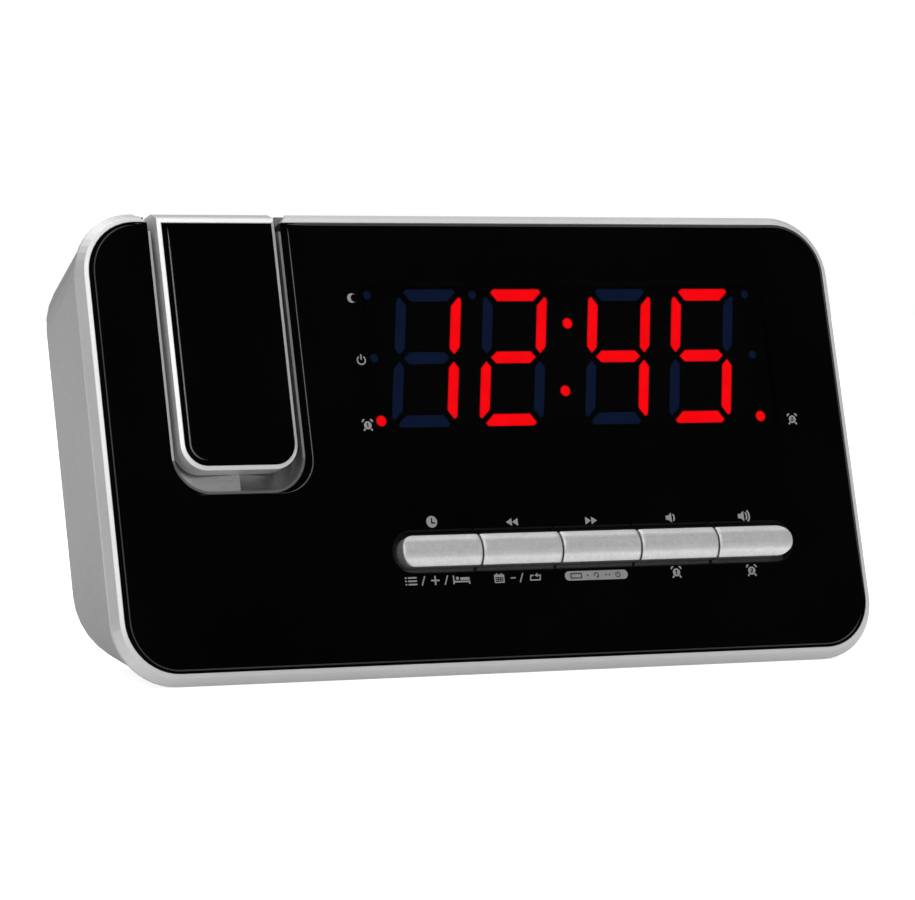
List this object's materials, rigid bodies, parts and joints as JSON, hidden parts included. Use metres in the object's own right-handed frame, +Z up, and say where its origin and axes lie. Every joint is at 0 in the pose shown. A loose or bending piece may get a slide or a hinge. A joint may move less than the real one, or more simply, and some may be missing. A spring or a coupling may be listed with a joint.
{
  "type": "projection alarm clock",
  "caption": "Desk alarm clock with a red digital display, a raked black face in a silver case, a row of press keys and a flip-up projector arm.",
  "frame": {"origin": "centre of the footprint box on the table, under the rubber feet", "axes": "+X to the viewer's right along the case, -Y towards the viewer, +Z up"},
  "size_m": [0.1814, 0.0726, 0.0978],
  "materials": {
    "silver_plastic": "fine satin silver paint",
    "silver_gloss": "smooth metallic silver lacquer",
    "black_gloss": "deep gloss black",
    "smoked_window": "smoked clear acrylic",
    "dark_plastic": "satin",
    "grey_plastic": "satin",
    "lit_red": "glowing",
    "unlit_segment": "matt",
    "board_green": "solder mask",
    "component_black": "matt",
    "white_plastic": "matt nylon",
    "steel": "zinc plated",
    "black_steel": "black oxide",
    "rubber_black": "matt",
    "magnet_grey": "ferrite",
    "paper_cone": "pressed paper",
    "fibre_washer": "fibre",
    "red_lamp": "clear red epoxy",
    "lens_clear": "clear acrylic",
    "slide_glass": "liquid crystal slide"
  },
  "bodies": {
    "clock_body": {"front_bezel": "silver_plastic", "front_panel": "black_gloss", "display_window": "smoked_window", "display_reflector": "dark_plastic", "lit_segments": "lit_red", "dark_segments": "unlit_segment", "front_board": "board_green", "tact_switches": "component_black", "key_guide": "dark_plastic", "main_board": "board_green", "board_components": "component_black", "board_standoffs": "white_plastic", "board_screws": "steel", "rear_housing": "silver_plastic", "housing_screws": "black_steel", "rubber_feet": "rubber_black", "cell_holder": "dark_plastic", "coin_cell": "steel", "speaker_basket": "steel", "speaker_magnet": "magnet_grey", "speaker_cone": "paper_cone", "power_socket": "dark_plastic", "snooze_board": "board_green", "snooze_switch": "component_black", "arm_recess": "silver_gloss", "hinge_pin": "steel", "hinge_washers": "fibre_washer"},
    "button_clock": {"key_clock": "grey_plastic", "cap_clock": "silver_gloss"},
    "button_back": {"key_back": "grey_plastic", "cap_back": "silver_gloss"},
    "button_forward": {"key_forward": "grey_plastic", "cap_forward": "silver_gloss"},
    "button_volume_down": {"key_volume_down": "grey_plastic", "cap_volume_down": "silver_gloss"},
    "button_volume_up": {"key_volume_up": "grey_plastic", "cap_volume_up": "silver_gloss"},
    "snooze_button": {"snooze_bar": "silver_plastic"},
    "battery_cover": {"battery_door": "silver_plastic"},
    "projector_arm": {"arm_frame": "silver_gloss", "arm_insert": "black_gloss", "arm_cover": "silver_gloss", "arm_screws": "steel", "projector_lamp": "red_lamp", "time_slide": "slide_glass"},
    "focus_wheel": {"focus_ring": "dark_plastic", "projector_lens": "lens_clear"}
  },
  "joints": [
    {"name": "arm_hinge", "type": "hinge", "parent": "clock_body", "child": "projector_arm", "pos_m": [-0.059, -0.0068, 0.09178], "axis": [-1, 0, 0], "range_deg": [0, 180]},
    {"name": "focus_turn", "type": "hinge", "parent": "projector_arm", "child": "focus_wheel", "pos_m": [-0.05895, -0.0084, 0.05998], "axis": [0, 0.965, -0.2622], "range_deg": [-60, 60]},
    {"name": "press_clock", "type": "slide", "parent": "clock_body", "child": "button_clock", "axis": [0, 0.965, -0.2622], "range_m": [0, 0.001], "stiffness_N_per_m": 1500, "springref_m": -0.0003},
    {"name": "press_back", "type": "slide", "parent": "clock_body", "child": "button_back", "axis": [0, 0.965, -0.2622], "range_m": [0, 0.001], "stiffness_N_per_m": 1500, "springref_m": -0.0003},
    {"name": "press_forward", "type": "slide", "parent": "clock_body", "child": "button_forward", "axis": [0, 0.965, -0.2622], "range_m": [0, 0.001], "stiffness_N_per_m": 1500, "springref_m": -0.0003},
    {"name": "press_volume_down", "type": "slide", "parent": "clock_body", "child": "button_volume_down", "axis": [0, 0.965, -0.2622], "range_m": [0, 0.001], "stiffness_N_per_m": 1500, "springref_m": -0.0003},
    {"name": "press_volume_up", "type": "slide", "parent": "clock_body", "child": "button_volume_up", "axis": [0, 0.965, -0.2622], "range_m": [0, 0.001], "stiffness_N_per_m": 1500, "springref_m": -0.0003},
    {"name": "snooze_press", "type": "slide", "parent": "clock_body", "child": "snooze_button", "axis": [0, -0.2622, -0.965], "range_m": [0, 0.0015], "stiffness_N_per_m": 1300, "springref_m": -0.0006},
    {"name": "battery_door_hinge", "type": "hinge", "parent": "clock_body", "child": "battery_cover", "pos_m": [-0.046, 0.02327, 0.03998], "axis": [-1, 0, 0], "range_deg": [0, 85]}
  ]
}
